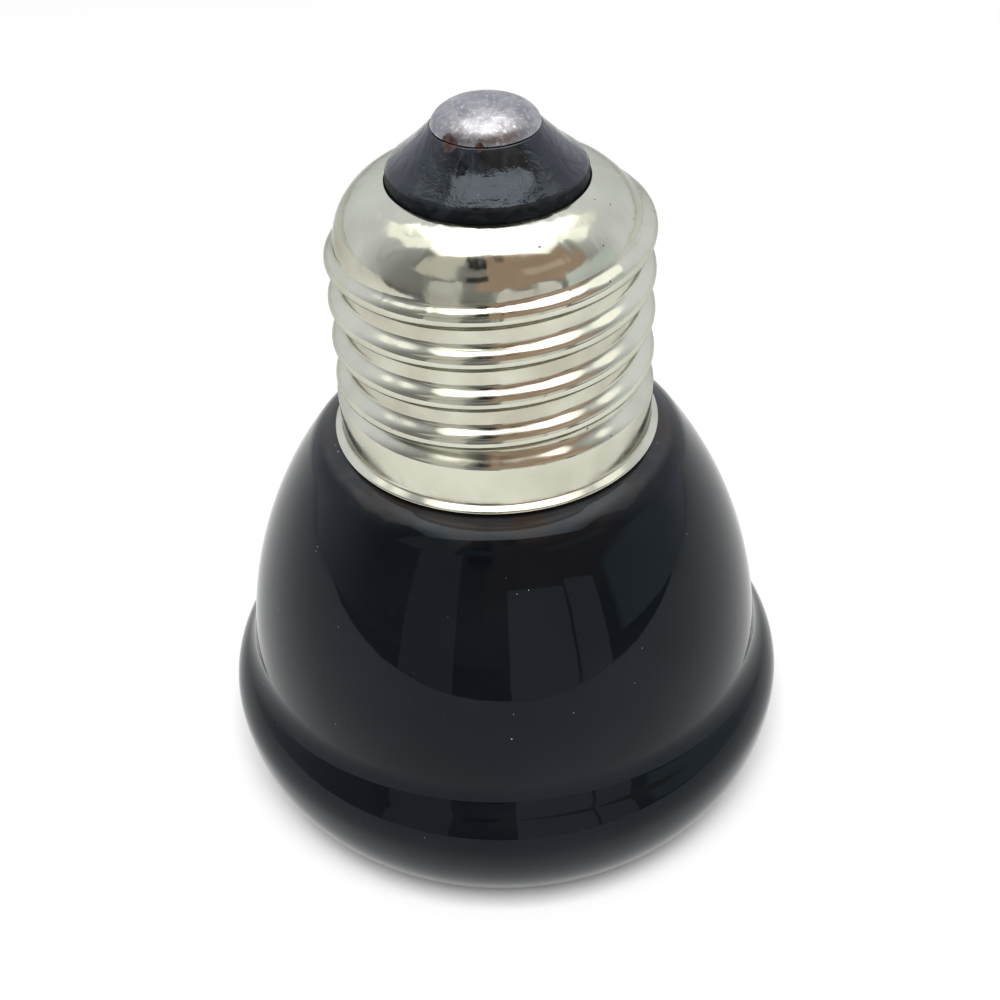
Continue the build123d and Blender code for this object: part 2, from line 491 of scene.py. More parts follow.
@dataclass(frozen=True)
class Solder:
    """Dull grey solder: a grainy frozen skin, a shrink crease on top and burnt flux at the front edge."""

    grey: Colour = (0.37, 0.365, 0.378)
    pale: Colour = (0.48, 0.475, 0.487)
    dark: Colour = (0.25, 0.243, 0.254)
    crease: Colour = (0.13, 0.125, 0.13)
    crease_middle: Point = (-0.2, 1.6)
    crease_reach: Point = (1.76, 0.8)
    broken: Cloud = Cloud(0.9, 4.0, 0.8)
    blotches: Cloud = Cloud(1.5, 5.0, 0.5)
    dullness: Cloud = Cloud(0.8, 4.0)
    skin: Cloud = Cloud(1.8, 3.0, depth=0.07)
    grain: Cloud = Cloud(0.28, 3.0, depth=0.014)
    flux: BurntFlux = BurntFlux()

    def crease_cover(self, s: Shading) -> Socket:
        """Cover of the dull shrink crease on top of the dome.

        Args:
            s: The material under way.

        Returns:
            Up to about a half along the crease, broken up by the skin's blotches.
        """
        cover = s.ramp(s.noise(self.broken), 0.35, 0.6, 0.15, 0.6)
        for value, middle, reach in zip(s.parts(s.place), self.crease_middle, self.crease_reach):
            cover = s.times(cover, s.band(s.over(value, MM), middle, reach))
        return cover

    def material(self) -> bpy.types.Material:
        """Wires the solder.

        Returns:
            The finished material.
        """
        s = Shading("solder")
        flux = self.flux.cover(s)
        grain = s.noise(self.grain)
        colour = s.mix(s.ramp(s.noise(self.blotches), 0.38, 0.68), self.dark, self.grey)
        colour = s.mix(s.ramp(grain, 0.5, 0.75), colour, self.pale)
        colour = s.mix(self.crease_cover(s), colour, self.crease)
        s.set(Base_Color=s.mix(flux, colour, self.flux.colour(s, flux)))
        s.set(Metallic=s.ramp(flux, 0.0, 1.0, 1.0, 0.0))
        s.set(Roughness=s.ramp(s.noise(self.dullness), 0.35, 0.7, 0.26, 0.46))
        s.set(Normal=s.bump(grain, self.grain.depth, s.relief(self.skin)))
        return s.material


def between(start: Point, end: Point, across: float, up: float) -> Point:
    """Point at one share of the way across and another of the way up from a start to an end."""
    return (start[0] + (end[0] - start[0]) * across, start[1] + (end[1] - start[1]) * up)


def on_ellipse(centre: Point, radii: Point, degrees: float) -> Point:
    """Point of an ellipse at an angle in degrees."""
    angle = math.radians(degrees)
    return (centre[0] + radii[0] * math.cos(angle), centre[1] + radii[1] * math.sin(angle))


def circles_meet(first: Point, first_radius: float, second: Point, second_radius: float) -> Point:
    """Outer crossing of two circles.

    Args:
        first: Centre of the first circle.
        first_radius: Its radius.
        second: Centre of the second circle.
        second_radius: Its radius.

    Returns:
        The crossing that has the larger radius from the axis.
    """
    gap = math.dist(first, second)
    along = (gap**2 + first_radius**2 - second_radius**2) / (2 * gap)
    across = math.sqrt(first_radius**2 - along**2)
    unit = ((second[0] - first[0]) / gap, (second[1] - first[1]) / gap)
    foot = (first[0] + unit[0] * along, first[1] + unit[1] * along)
    return max((foot[0] - side * unit[1] * across, foot[1] + side * unit[0] * across) for side in (1, -1))


@dataclass
class Outline:
    """Half section of a turned piece, drawn up its outer face, as radius and height points in millimetres.

    The spacing that each run takes is the largest distance between its points.
    """

    points: list[Point]

    def run(self, least: int, length: float, spacing: float, place: Callable[[float], Point]) -> None:
        """Adds the points of a run at even steps.

        Args:
            least: Least number of steps.
            length: About how long the run is.
            spacing: Largest distance between its points.
            place: Gives the point at a share of the way.
        """
        steps = max(least, math.ceil(length / spacing))
        self.points.extend([place(step / steps) for step in range(1, steps + 1)])

    def line(self, end: Point, spacing: float) -> None:
        """Adds a straight run to an end point."""
        start = self.points[-1]
        self.run(1, math.dist(start, end), spacing, lambda t: between(start, end, t, t))

    def ease(self, end: Point, spacing: float) -> None:
        """Adds a run to an end point that leaves and arrives upright."""
        start = self.points[-1]
        self.run(4, math.dist(start, end), spacing, lambda t: between(start, end, t * t * (3 - 2 * t), t))

    def bend(self, control: Point, end: Point, spacing: float) -> None:
        """Adds a curve that leaves and arrives towards one control point.

        Args:
            control: The control point.
            end: Where it ends.
            spacing: Largest distance between its points.
        """
        start = self.points[-1]
        length = math.dist(start, control) + math.dist(control, end)
        sides = ((start, control), (control, end))
        self.run(2, length, spacing, lambda t: between(*(between(*side, t, t) for side in sides), t, t))

    def arc(self, centre: Point, radii: Point, start: float, end: float, spacing: float) -> None:
        """Adds an arc of a circle or an ellipse.

        Args:
            centre: Its centre.
            radii: Half widths across and up.
            start: Angle of its first point in degrees.
            end: Angle of its last point in degrees.
            spacing: Largest distance between its points.
        """
        self.points.append(on_ellipse(centre, radii, start))
        length = math.radians(abs(end - start)) * max(radii)
        self.run(2, length, spacing, lambda t: on_ellipse(centre, radii, start + (end - start) * t))

    def cleaned(self, ends: Ends) -> list[Point]:
        """Points with doubles left out, closed as the section needs.

        Args:
            ends: How the section is closed.

        Returns:
            The points in order.
        """
        kept = [self.points[0]]
        for point in self.points[1:]:
            if math.dist(point, kept[-1]) > SAME_POINT:
                kept.append(point)
        if ends is Ends.JOINED:
            if math.dist(kept[0], kept[-1]) < SAME_POINT:
                kept.pop()
            kept.append(kept[0])
        return kept


class TurnedTree(Wiring):
    """Geometry Nodes tree that turns a section about the upright axis and makes its skin a little uneven."""

    def __init__(self, name: str) -> None:
        """Starts the tree with its section input.

        Args:
            name: The tree's name.
        """
        super().__init__(bpy.data.node_groups.new(name, "GeometryNodeTree"))
        self.identifiers: dict[str, str] = {}
        self.input_node = self.add("NodeGroupInput")
        self.output_node = self.add("NodeGroupOutput")
        self.tree.interface.new_socket(name="Section", in_out="INPUT", socket_type="NodeSocketGeometry")
        self.tree.interface.new_socket(name="Mesh", in_out="OUTPUT", socket_type="NodeSocketGeometry")

    def input(self, name: str, kind: str = "Float") -> Socket:
        """Adds a named input.

        Args:
            name: The input's name.
            kind: Blender's name of its socket type, without the leading words.

        Returns:
            The input's socket inside the tree.
        """
        socket = self.tree.interface.new_socket(name=name, in_out="INPUT", socket_type=f"NodeSocket{kind}")
        self.identifiers[name] = socket.identifier
        return self.input_node.outputs[name]

    def sampled(self, value: Socket, data_type: str, row: Socket) -> Socket:
        """Value of the section, of a type that Blender names, at the point of a row."""
        feeds = {"Geometry": self.input_node.outputs["Section"], "Value": value, "Index": row}
        return self.add("GeometryNodeSampleIndex", feeds, data_type=data_type).outputs["Value"]

    def rolled(self, radius: Socket, height: Socket, angle: Socket, set_in: Socket) -> Socket:
        """Radius of the plain section, unless the tree rolls something into it."""
        return radius

    def turned(self) -> Socket:
        """Closed mesh that the section sweeps out.

        Returns:
            The mesh's socket.
        """
        columns = self.input("Columns", "Int")
        section = {0: self.input_node.outputs["Section"]}
        rows = self.add("GeometryNodeAttributeDomainSize", section, component="MESH").outputs["Point Count"]
        grid = self.add("GeometryNodeMeshGrid", {"Vertices X": columns, "Vertices Y": rows})
        index = self.add("GeometryNodeInputIndex").outputs[0]
        row = self.math("MODULO", index, rows)
        column = self.math("FLOOR", self.over(index, rows))
        angle = self.over(self.times(column, math.tau), self.minus(columns, 1.0))
        point = self.sampled(self.add("GeometryNodeInputPosition").outputs[0], "FLOAT_VECTOR", row)
        inset = self.add("GeometryNodeInputNamedAttribute", {"Name": "set_in"}, data_type="FLOAT")
        plain, _, height = self.parts(point)
        radius = self.rolled(plain, height, angle, self.sampled(inset.outputs["Attribute"], "FLOAT", row))
        across = (self.times(radius, self.math(side, angle)) for side in ("COSINE", "SINE"))
        place = {"Geometry": grid.outputs["Mesh"], "Position": self.vector(*across, height)}
        swept = self.add("GeometryNodeSetPosition", place).outputs[0]
        close = {"Geometry": swept, "Distance": SAME_POINT * MM}
        return self.add("GeometryNodeMergeByDistance", close).outputs[0]

    def uneven(self, mesh: Socket) -> Socket:
        """Pushes a mesh in along its normals by a cloudy pattern.

        Args:
            mesh: The even mesh.

        Returns:
            The uneven mesh's socket.
        """
        depth, size, seed = (self.input(name) for name in ("Unevenness", "Uneven Size", "Seed"))
        feeds = {"W": seed, "Scale": self.over(1.0, size)}
        cloud = self.add("ShaderNodeTexNoise", feeds, noise_dimensions="4D").outputs["Fac"]
        inward = self.times(cloud, self.times(depth, -1.0))
        normal = self.add("GeometryNodeInputNormal").outputs[0]
        push = self.add("ShaderNodeVectorMath", {0: normal, "Scale": inward}, operation="SCALE")
        return self.add("GeometryNodeSetPosition", {"Geometry": mesh, "Offset": push.outputs[0]}).outputs[0]

    def wire(self) -> None:
        """Wires the tree from its section input to its output."""
        smooth = self.add("GeometryNodeSetShadeSmooth", {0: self.uneven(self.turned())})
        real = self.add("GeometryNodeRealizeInstances", {0: smooth.outputs[0]})
        paint = {"Geometry": real.outputs[0], "Material": self.input("Material", "Material")}
        painted = self.add("GeometryNodeSetMaterial", paint)
        self.feed(self.output_node.inputs["Mesh"], painted.outputs[0])


class ThreadedTree(TurnedTree):
    """Turning tree that also rolls a right-handed round thread into the sheet."""

    def wire(self) -> None:
        """Adds the thread's own inputs, then wires the tree."""
        names = (
            "Pitch", "Depth", "Core Radius", "Start Height", "Start Angle",
            "Turns", "Fade Turns", "Crest Round", "Side Angle", "Blend",
        )
        self.thread = {name: self.input(name) for name in names}
        super().wire()

    def ridge_height(self, offset: Socket) -> Socket:
        """Height of the ridge over the core: a round crest that runs out into straight sides.

        Args:
            offset: Distance along the axis from the crest.

        Returns:
            The height's socket, which falls below nought past the foot.
        """
        depth, crest, side = (self.thread[name] for name in ("Depth", "Crest Round", "Side Angle"))
        near = self.math("ABSOLUTE", offset)
        top = self.math("MINIMUM", near, self.times(crest, self.math("SINE", side)))
        square = self.minus(self.times(crest, crest), self.times(top, top))
        arc = self.plus(self.minus(depth, crest), self.math("SQRT", square))
        return self.minus(arc, self.times(self.minus(near, top), self.math("TANGENT", side)))

    def rolled(self, radius: Socket, height: Socket, angle: Socket, set_in: Socket) -> Socket:
        """Radius of the sheet with the thread in it.

        Args:
            radius: Radius of the plain sheet.
            height: Height of the point.
            angle: Angle of the point about the axis.
            set_in: How far the point's face is set in from the outer face.

        Returns:
            The rolled radius's socket.
        """
        thread = self.thread
        around = self.over(self.minus(angle, thread["Start Angle"]), math.tau)
        risen = self.over(self.minus(height, thread["Start Height"]), thread["Pitch"])
        turns_off = self.minus(risen, around)
        turn = self.math("ROUND", turns_off)
        offset = self.times(self.minus(turns_off, turn), thread["Pitch"])
        run = self.plus(around, turn)
        to_end = self.math("MINIMUM", run, self.minus(thread["Turns"], run))
        hidden = self.minus(1.0, self.ramp(self.over(to_end, thread["Fade Turns"]), 0.0, 1.0))
        gone = self.ramp(to_end, -PAST_END, 0.0, 1.0, 0.0)
        sunk = self.times(thread["Depth"], self.plus(hidden, self.times(gone, PAST_DROP)))
        ridge = self.minus(self.plus(thread["Core Radius"], self.ridge_height(offset)), sunk)
        return self.math("SMOOTH_MAX", radius, self.minus(ridge, set_in), thread["Blend"])


class PouredTree(TurnedTree):
    """Turning tree that also dishes a shallow patch into one side, as poured glass sets."""

    def wire(self) -> None:
        """Adds the dish's own inputs, then wires the tree."""
        names = ("Dish Depth", "Dish Height", "Dish Half", "Dish Angle", "Dish Width", "Dish From")
        self.dish = {name: self.input(name) for name in names}
        super().wire()

    def rolled(self, radius: Socket, height: Socket, angle: Socket, set_in: Socket) -> Socket:
        """Radius of the glass with the dish in it.

        Args:
            radius: Radius of the plain section.
            height: Height of the point.
            angle: Angle of the point about the axis.
            set_in: Not used by this tree.

        Returns:
            The dished radius's socket.
        """
        dish = self.dish
        around = self.over(self.apart(angle, dish["Dish Angle"]), dish["Dish Width"])
        up = self.over(self.apart(height, dish["Dish Height"]), dish["Dish Half"])
        patch = self.times(self.ramp(around, SOFT_EDGE, 1.0, 1.0, 0.0), self.ramp(up, 0.0, 1.0, 1.0, 0.0))
        hollow = self.times(patch, self.math("GREATER_THAN", radius, dish["Dish From"]))
        return self.minus(radius, self.times(hollow, dish["Dish Depth"]))


@dataclass
class TurnedPiece:
    """A piece turned about the upright axis, with what it needs to become a dressed object."""

    name: str = "piece"
    node: str = "node"
    slot: Slot = Slot.BLACK_GLAZE
    ends: Ends = Ends.ON_AXIS
    columns: int = 241
    unevenness: float = 0.0
    uneven_size: float = 5.0
    seed: float = 1.0

    def outline(self) -> Outline:
        """Half section of the piece."""
        raise NotImplementedError

    def set_in(self, points: list[Point]) -> list[float]:
        """How far each point's face is set in from the outer face, in millimetres."""
        return [0.0] * len(points)

    def tree(self) -> TurnedTree:
        """Tree that turns the section."""
        return TurnedTree(f"turn_{self.name}")

    def values(self) -> dict[str, Feed]:
        """Values of the tree's own inputs, in metres and radians."""
        return {}

    def section_object(self) -> bpy.types.Object:
        """Object that holds the half section as a line of points.

        Returns:
            The object, linked to the scene.
        """
        points = self.outline().cleaned(self.ends)
        mesh = bpy.data.meshes.new(self.name)
        corners = [(radius * MM, 0.0, height * MM) for radius, height in points]
        mesh.from_pydata(corners, [(i, i + 1) for i in range(len(corners) - 1)], [])
        inset = mesh.attributes.new("set_in", "FLOAT", "POINT")
        inset.data.foreach_set("value", [distance * MM for distance in self.set_in(points)])
        section = bpy.data.objects.new(self.name, mesh)
        bpy.context.scene.collection.objects.link(section)
        return section

    def build(self, material: bpy.types.Material) -> bpy.types.Object:
        """Turns the section into a plain mesh.

        Args:
            material: The piece's finish.

        Returns:
            The finished object, at the origin.
        """
        piece = self.section_object()
        tree = self.tree()
        tree.wire()
        modifier = piece.modifiers.new("turning", "NODES")
        modifier.node_group = tree.tree
        shared = {
            "Columns": self.columns,
            "Unevenness": self.unevenness * MM,
            "Uneven Size": self.uneven_size * MM,
            "Seed": self.seed,
            "Material": material,
        }
        for name, value in {**shared, **self.values()}.items():
            modifier[tree.identifiers[name]] = value
        piece.update_tag()
        bpy.context.view_layer.update()
        turned = bpy.data.meshes.new_from_object(piece.evaluated_get(bpy.context.evaluated_depsgraph_get()))
        piece.modifiers.remove(modifier)
        piece.data = turned
        turned.name = self.name
        return piece

    def dress(self, piece: bpy.types.Object) -> None:
        """Fits the piece into the frame.

        Args:
            piece: The finished object.
        """
        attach(piece, BODY)
        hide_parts(self.node)
        LOG.info("%s: %d faces for %s", piece.name, len(piece.data.polygons), self.node)


@dataclass
class CeramicBody(TurnedPiece):
    """Glazed bell with a rounded rim, a flat standing face and a neck inside the cap."""

    name: str = "glazed_bell"
    node: str = "ceramic_body"
    slot: Slot = Slot.BLACK_GLAZE
    unevenness: float = 0.05
    uneven_size: float = 16.0
    rim_radius: float = 25.5
    rim_height: float = 9.65
    rim_round: float = 5.1
    undercut: float = 7.9
    crease_round: float = 4.6
    foot: Point = (23.18, 13.25)
    land: Point = (14.205, 36.194)
    land_slope: float = 18.0
    shoulder_round: float = 4.0
    shoulder_turn: float = 36.4
    neck_foot: Point = (12.65, 36.7)
    neck_step: Point = (11.78, 40.6)
    neck_top: float = 49.0
    neck_chamfer: float = 0.8

    def shoulder_centre(self) -> Point:
        """Centre of the round between the sloping land and the flank."""
        return on_ellipse(self.land, (-self.shoulder_round,) * 2, 90 - self.land_slope)

    def flank(self) -> tuple[Point, float]:
        """Circle of the bell's long flank, which carries on from the shoulder to the foot.

        Returns:
            Its centre and its radius.
        """
        rise = 90 - self.land_slope - self.shoulder_turn
        normal = on_ellipse((0.0, 0.0), (1.0, 1.0), rise)
        start = on_ellipse(self.shoulder_centre(), (self.shoulder_round,) * 2, rise)
        span = (self.foot[0] - start[0], self.foot[1] - start[1])
        radius = -(span[0] ** 2 + span[1] ** 2) / (2 * (span[0] * normal[0] + span[1] * normal[1]))
        return on_ellipse(start, (-radius, -radius), rise), radius

    def neck(self) -> list[Point]:
        """Corners of the neck, from the foot inside the lip to the axis."""
        step, top, chamfer = self.neck_step, self.neck_top, self.neck_chamfer
        shoulder = [(self.neck_foot[0], step[1]), step, (step[0], top - chamfer), (step[0] - chamfer, top)]
        return [self.neck_foot, *shoulder, (0.0, top)]

    def outline(self) -> Outline:
        """Half section from the standing face up to the top of the neck.

        Returns:
            The outline.
        """
        face_centre = (self.rim_radius - self.undercut, self.rim_height)
        rim_centre = (self.rim_radius - self.rim_round, self.rim_height)
        flank_centre, flank_radius = self.flank()
        crease_reach = flank_radius + self.crease_round
        crease = circles_meet(rim_centre, self.rim_round + self.crease_round, flank_centre, crease_reach)
        to_rim = math.degrees(math.atan2(rim_centre[1] - crease[1], rim_centre[0] - crease[0]))
        to_flank = math.degrees(math.atan2(flank_centre[1] - crease[1], flank_centre[0] - crease[0])) % 360
        land_rise = 90 - self.land_slope
        rise = land_rise - self.shoulder_turn
        line = Outline([(0.0, 0.0)])
        line.line((face_centre[0], 0.0), spacing=1.5)
        line.arc(face_centre, (self.undercut, self.rim_height), -90, 0, spacing=0.3)
        line.arc(rim_centre, (self.rim_round,) * 2, 0, to_rim + 180, spacing=0.25)
        line.arc(crease, (self.crease_round,) * 2, to_rim + 360, to_flank, spacing=0.1)
        line.arc(flank_centre, (flank_radius,) * 2, to_flank - 180, rise, spacing=0.35)
        line.arc(self.shoulder_centre(), (self.shoulder_round,) * 2, rise, land_rise, spacing=0.1)
        for corner in self.neck():
            line.line(corner, spacing=0.4)
        return line


@dataclass
class ScrewShell(TurnedPiece):
    """Pressed shell of thin sheet with a rolled-out lip, a plain skirt, the thread and a rounded crown.

    Its heights are measured from the lip.
    """

    name: str = "rolled_screw_shell"
    node: str = "screw_shell"
    slot: Slot = Slot.NICKEL_SHEET
    ends: Ends = Ends.JOINED
    columns: int = 289
    unevenness: float = 0.03
    uneven_size: float = 8.0
    seed: float = 4.0
    crest_radius: float = 13.15
    depth: float = 1.02
    pitch: float = 3.629
    turns: float = 4.0
    start_height: float = 4.6
    start_angle: float = 90.0
    fade_angle: float = 75.0
    crest_round: float = 0.8
    side_angle: float = 55.0
    blend: float = 0.22
    lip_radius: float = 13.7
    lip_round: float = 0.15
    lip_rise: float = 57.0
    waist: Point = (13.08, 0.84)
    crease: float = 0.06
    skirt: Point = (13.2, 4.0)
    core_from: float = 5.2
    core_to: float = 16.3
    fine: float = 0.13
    coarse: float = 0.7

    def core_radius(self) -> float:
        """Radius of the core that the thread stands on."""
        return self.crest_radius - self.depth

    def crown_end(self, inset: float) -> float:
        """Angle at which the crown's arc reaches the mouth, in degrees, for a face set in by a distance."""
        return math.degrees(math.acos((MOUTH_RADIUS - CROWN_CENTRE[0]) / (CROWN_ROUND - inset)))

    def draw_outer_face(self, line: Outline) -> None:
        """Draws up the outer face, from the edge of the lip to the mouth.

        Args:
            line: The outline to add to.
        """
        core = self.core_radius()
        bead = (self.lip_radius - self.lip_round, self.lip_round)
        crown_centre = (CROWN_CENTRE[0], CROWN_CENTRE[1] - LIP_HEIGHT)
        line.arc(bead, (self.lip_round,) * 2, -90, self.lip_rise, spacing=0.05)
        edge, inner = line.points[-1], self.waist[0] + self.crease
        flare_top = edge[1] + (edge[0] - inner) / math.tan(math.radians(self.lip_rise))
        line.line((inner, flare_top), spacing=0.08)
        line.bend((self.waist[0], flare_top + self.crease), self.waist, spacing=0.05)
        line.ease(self.skirt, self.fine)
        line.ease((core, self.core_from), spacing=0.08)
        line.line((core, self.core_to), self.fine)
        line.ease((crown_centre[0] + CROWN_ROUND, crown_centre[1]), self.fine)
        line.arc(crown_centre, (CROWN_ROUND,) * 2, 0, self.crown_end(0.0), self.fine)

    def draw_inner_face(self, line: Outline) -> None:
        """Draws down the inner face, from the mouth to the edge of the lip.

        Args:
            line: The outline to add to.
        """
        core = self.core_radius() - SHEET
        crown_centre = (CROWN_CENTRE[0], CROWN_CENTRE[1] - LIP_HEIGHT)
        line.arc(crown_centre, (CROWN_ROUND - SHEET,) * 2, self.crown_end(SHEET), 0, self.coarse)
        line.ease((core, self.core_to), self.coarse)
        line.line((core, self.core_from), self.coarse)
        line.ease((self.skirt[0] - SHEET, self.skirt[1]), self.coarse)
        line.ease((self.waist[0] - SHEET, self.waist[1] - 2 * self.lip_round), self.coarse)
        line.line((self.lip_radius - SHEET, 0.0), self.coarse)

    def outline(self) -> Outline:
        """Section of the sheet, up its outer face and down its inner face."""
        line = Outline([(self.lip_radius - SHEET, 0.0)])
        self.draw_outer_face(line)
        self.draw_inner_face(line)
        return Outline([(radius, height + LIP_HEIGHT) for radius, height in line.points])

    def set_in(self, points: list[Point]) -> list[float]:
        """Nought up the outer face, whose mouth is the highest point, and the sheet down the inner one."""
        outer = 1 + points.index(max(points, key=lambda point: point[1]))
        return [0.0] * outer + [SHEET] * (len(points) - outer - 1) + [0.0]

    def tree(self) -> TurnedTree:
        """Tree that turns the section and rolls the thread."""
        return ThreadedTree(f"turn_{self.name}")

    def values(self) -> dict[str, Feed]:
        """Sizes of the thread, in metres, radians and turns."""
        return {
            "Pitch": self.pitch * MM,
            "Depth": self.depth * MM,
            "Core Radius": self.core_radius() * MM,
            "Start Height": (LIP_HEIGHT + self.start_height) * MM,
            "Start Angle": math.radians(self.start_angle),
            "Turns": self.turns,
            "Fade Turns": self.fade_angle / 360,
            "Crest Round": self.crest_round * MM,
            "Side Angle": math.radians(self.side_angle),
            "Blend": self.blend * MM,
        }


@dataclass
class Insulator(TurnedPiece):
    """Black glass fused into the crown, with a soft lower edge and a hollow cone up to the contact's seat."""

    name: str = "black_glass_insulator"
    node: str = "insulator"
    slot: Slot = Slot.BLACK_GLASS
    ends: Ends = Ends.JOINED
    columns: int = 193
    unevenness: float = 0.16
    uneven_size: float = 3.2
    seed: float = 7.0
    foot_height: float = 52.3
    inner_radius: float = 11.78
    inner_height: float = 53.3
    edge_height: float = 59.99
    edge_round: float = 0.9
    edge_turn: float = 52.0
    seat_radius: float = 4.35
    dish_depth: float = 0.3
    dish_height: float = 62.4
    dish_half: float = 1.35
    dish_angle: float = 275.0
    dish_width: float = 30.0
    dish_from: float = 3.0

    def tree(self) -> TurnedTree:
        """Tree that turns the section and dishes its front."""
        return PouredTree(f"turn_{self.name}")

    def values(self) -> dict[str, Feed]:
        """Sizes of the dish, in metres and radians."""
        return {
            "Dish Depth": self.dish_depth * MM,
            "Dish Height": self.dish_height * MM,
            "Dish Half": self.dish_half * MM,
            "Dish Angle": math.radians(self.dish_angle),
            "Dish Width": math.radians(self.dish_width),
            "Dish From": self.dish_from * MM,
        }

    def outline(self) -> Outline:
        """Section from the foot in the crown up to the seat, and down the bore.

        Returns:
            The outline.
        """
        crown_round = CROWN_ROUND - SHEET
        mouth_angle = math.degrees(math.acos((MOUTH_RADIUS - CROWN_CENTRE[0]) / crown_round))
        edge_centre = (MOUTH_RADIUS - self.edge_round, self.edge_height)
        seat = (self.seat_radius, SEAT_HEIGHT)
        line = Outline([(BORE_RADIUS, self.foot_height)])
        line.line((self.inner_radius, self.foot_height), spacing=1.5)
        line.line((self.inner_radius, self.inner_height), spacing=1.5)
        line.ease((CROWN_CENTRE[0] + crown_round, CROWN_CENTRE[1]), spacing=0.3)
        line.arc(CROWN_CENTRE, (crown_round,) * 2, 0, mouth_angle, spacing=0.5)
        line.line((MOUTH_RADIUS, self.edge_height), spacing=0.1)
        line.arc(edge_centre, (self.edge_round,) * 2, 0, self.edge_turn, spacing=0.07)
        cone_foot = line.points[-1]
        half = math.dist(cone_foot, seat) / 2
        line.bend(on_ellipse(cone_foot, (half, half), self.edge_turn + 90), seat, spacing=0.12)
        line.line((BORE_RADIUS, SEAT_HEIGHT), spacing=0.4)
        line.line((BORE_RADIUS, self.foot_height), spacing=1.5)
        return line


@dataclass
class CentreContact(TurnedPiece):
    """Low uneven dome of solder, with a stem down the bore of the glass."""

    name: str = "solder_contact"
    node: str = "centre_contact"
    slot: Slot = Slot.SOLDER
    columns: int = 161
    unevenness: float = 0.1
    uneven_size: float = 2.4
    seed: float = 12.0
    radius: float = 4.24
    rise: float = 1.9
    stem_foot: float = 59.7

    def outline(self) -> Outline:
        """Section from the foot of the stem to the top of the dome.

        Returns:
            The outline.
        """
        line = Outline([(0.0, self.stem_foot)])
        line.line((BORE_RADIUS, self.stem_foot), spacing=0.6)
        line.line((BORE_RADIUS, SEAT_HEIGHT), spacing=0.6)
        line.line((self.radius, SEAT_HEIGHT), spacing=0.3)
        line.arc((0.0, SEAT_HEIGHT), (self.radius, self.rise), 0, 90, spacing=0.09)
        return line


@dataclass(frozen=True)
class RoomZone:
    """Soft-edged panel of the room, in degrees round from the camera and up from the floor."""

    turn: float
    rise: float
    half_turn: float
    half_rise: float
    colour: Colour


@dataclass(frozen=True)
class EndCard:
    """Pale card that stands on the front end of the table, in millimetres."""

    left: float
    right: float
    height: float
    glow: float


